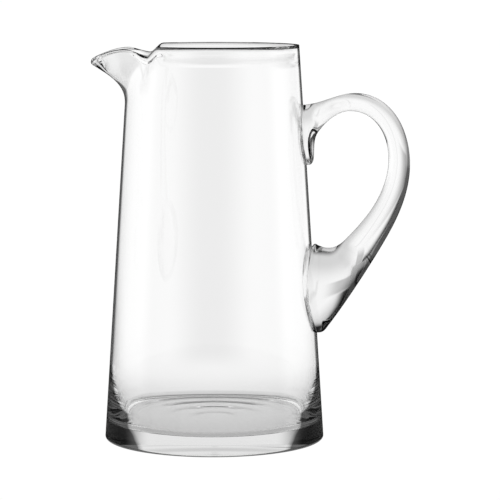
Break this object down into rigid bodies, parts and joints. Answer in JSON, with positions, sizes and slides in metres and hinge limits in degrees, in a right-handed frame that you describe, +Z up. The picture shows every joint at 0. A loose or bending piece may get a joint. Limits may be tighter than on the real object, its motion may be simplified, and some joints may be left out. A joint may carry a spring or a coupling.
{
  "type": "cocktail pitcher",
  "caption": "Clear glass pitcher with a tapered body, thick base, pulled pouring lip and applied loop handle, for mixing and pouring drinks.",
  "frame": {"origin": "middle of the flat underside, on the vessel's axis", "axes": "+Z up along the vessel's axis, -X towards the pouring lip, +X towards the handle, +Y across the mirror plane"},
  "size_m": [0.1895, 0.1308, 0.235],
  "materials": {
    "body_glass": "clear, fire polished",
    "handle_glass": "clear, fire polished"
  },
  "bodies": {
    "root": {"body": "body_glass", "handle": "handle_glass"}
  },
  "joints": []
}
